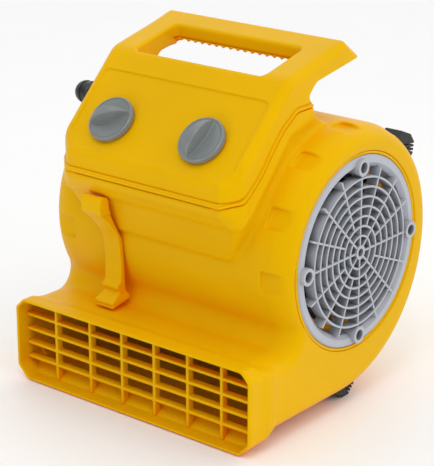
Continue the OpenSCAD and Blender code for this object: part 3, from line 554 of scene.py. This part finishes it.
def foot(node, turn, centre, mirrored):
    """Rubber block with a flat sole, ramps and tread grooves across it."""
    g = Grid((-11, -23, -1), (11, 17, 31), 0.5)
    side = poly(rounded([(5.2, 0, 1), (13.6, 8.4, 1.5), (15, 30, 0), (-21.5, 30, 0), (-20, 9, 2),
                         (-5.2, 0, 1)]), g.y, g.z)
    d = both(side, np.abs(g.x) - 9.75, 1.2)
    for i in range(3):
        y, z = g.y - 7 - 2.5 * i, g.z - 1.8 - 2.5 * i
        along, into = (y + z) * DIAGONAL, (z - y) * DIAGONAL
        d = cut(d, np.maximum(np.abs(along) - 0.6, -into - 2.2), 0.4)
    for y in (-1.95, 2.05):
        d = cut(d, np.maximum(np.abs(g.y - y) - 0.5, g.z - 1.0), 0.3)
    side_x = middle(node)[0]
    c, s = math.cos(turn), math.sin(turn)

    def place(p):
        v, w = (-p[:, 1] if mirrored else p[:, 1]), p[:, 2]
        return np.stack([p[:, 0] + side_x, centre[0] + v * c - w * s, centre[1] + v * s + w * c], axis=1)

    solid(node + "_moulded", g, d, "housing", "black_rubber", [node], place=place)


def carpet_clamp():
    """Clamp arm with its slotted knuckle round the hinge pin and a grooved foot."""
    g = Grid((CLAMP_X - 13, -121.5, 81), (CLAMP_X + 13, -77, 201.5), 0.6)
    side = poly(rounded([(-108, 198, 4), (-117, 200, 3.5), (-120.3, 195, 3), (-120, 184, 5), (-106, 171, 10),
                         (-93.5, 155, 30), (-90.5, 128, 30), (-91.5, 108, 3), (-98, 104, 3), (-92.5, 98, 2),
                         (-105, 90.5, 2), (-105, 84.5, 1), (-86, 87.8, 0), (-79.5, 90, 0.5),
                         (-79.5, 92, 1), (-84.5, 100, 4), (-85, 120, 20), (-87.2, 150, 20), (-99, 171, 10),
                         (-106.3, 186, 0)], 4), g.y, g.z)
    x = np.abs(g.x - CLAMP_X)
    half = 10.2 + 1.8 * np.clip((g.z - 180) / 2, 0, 1) + 1.5 * np.clip((96 - g.z) / 5, 0, 1)
    d = both(side, x - half, 1.1)
    pin = np.hypot(g.y - CLAMP_PIN[0], g.z - CLAMP_PIN[1])
    d = cut(d, np.maximum(pin - 2.06, x - 10.7))
    d = cut(d, np.maximum(pin - 4.6, x - 7.5))
    swing = poly([(-113.5, 187), (-100, 187), (-100, 204), (-109.8, 204), (-116, 191.5)], g.y, g.z)
    d = cut(d, np.maximum(swing, x - 3.4))
    d = cut(d, np.maximum(np.abs(g.z - 87.2) - 0.6, g.y + 104.2), 0.4)
    solid("carpet_clamp_moulded", g, d, "clamp", "cover_yellow", ["carpet_clamp"])


housing()
control_cover()
console_bead()
grip()
outlet_grille()
side_cover("side_cover_right", 1)
side_cover("side_cover_left", -1)
knob("speed_knob", 63)
knob("timer_knob", 11)
FOOT_TURN, FOOT_R = math.radians(37.8), 135.6
for hand in ("right", "left"):
    foot("foot_bottom_" + hand, 0.0, (27.0, 0.0), False)
    foot("foot_rear_" + hand, FOOT_TURN + math.radians(88),
         FAN + FOOT_R * np.array((math.cos(FOOT_TURN), math.sin(FOOT_TURN))), True)
carpet_clamp()

# ---------- CAD nodes that keep their own shape ----------
for s in frame["record"]["subparts"]:
    o = frame["nodes"][s["node"]]
    o.data.materials.clear()
    o.data.materials.append(MATS[s["material_slot"]])

# ---------- floor and light ----------
bpy.ops.mesh.primitive_plane_add(size=12, location=(0, 0, -0.0004))
floor = bpy.context.object
floor.name = "floor"
floor.data.materials.append(finish("floor_white", (0.97, 0.97, 0.97), 0.6, tone=0.005, bump=0.0))

world = bpy.data.worlds.new("studio")
world.use_nodes = True
sky, sky_link = world.node_tree.nodes, world.node_tree.links.new
side = sky.new("ShaderNodeTexCoord")
facing = sky.new("ShaderNodeVectorMath")
facing.operation = "DOT_PRODUCT"
facing.inputs[1].default_value = (-0.25, -0.93, -0.25)
sky_link(side.outputs["Generated"], facing.inputs[0])
fall = sky.new("ShaderNodeMapRange")  # white behind and above the object, dimmer in front of it
fall.inputs["From Min"].default_value = -0.1
fall.inputs["From Max"].default_value = 0.7
fall.inputs["To Min"].default_value = 1.07
fall.inputs["To Max"].default_value = 0.38
sky_link(facing.outputs["Value"], fall.inputs["Value"])
sky_link(fall.outputs["Result"], sky["Background"].inputs["Strength"])
sky["Background"].inputs["Color"].default_value = (1, 1, 1, 1)
bpy.context.scene.world = world
bpy.context.scene.view_settings.view_transform = "Standard"


def area(name, loc, to, size, power):
    lamp = bpy.data.lights.new(name, "AREA")
    lamp.shape, lamp.size, lamp.energy = "SQUARE", size, power
    o = bpy.data.objects.new(name, lamp)
    o.location = loc
    o.rotation_euler = (Vector(to) - Vector(loc)).to_track_quat("-Z", "Y").to_euler()
    bpy.context.scene.collection.objects.link(o)


area("key", (0.5, -1.3, 2.3), (0, 0, 0.15), 1.2, 11)
area("low", (-0.15, -1.5, 0.16), (0, 0, 0.05), 0.4, 1.5)
area("fill", (2.2, -0.4, 0.9), (0, 0, 0.15), 1.4, 2)
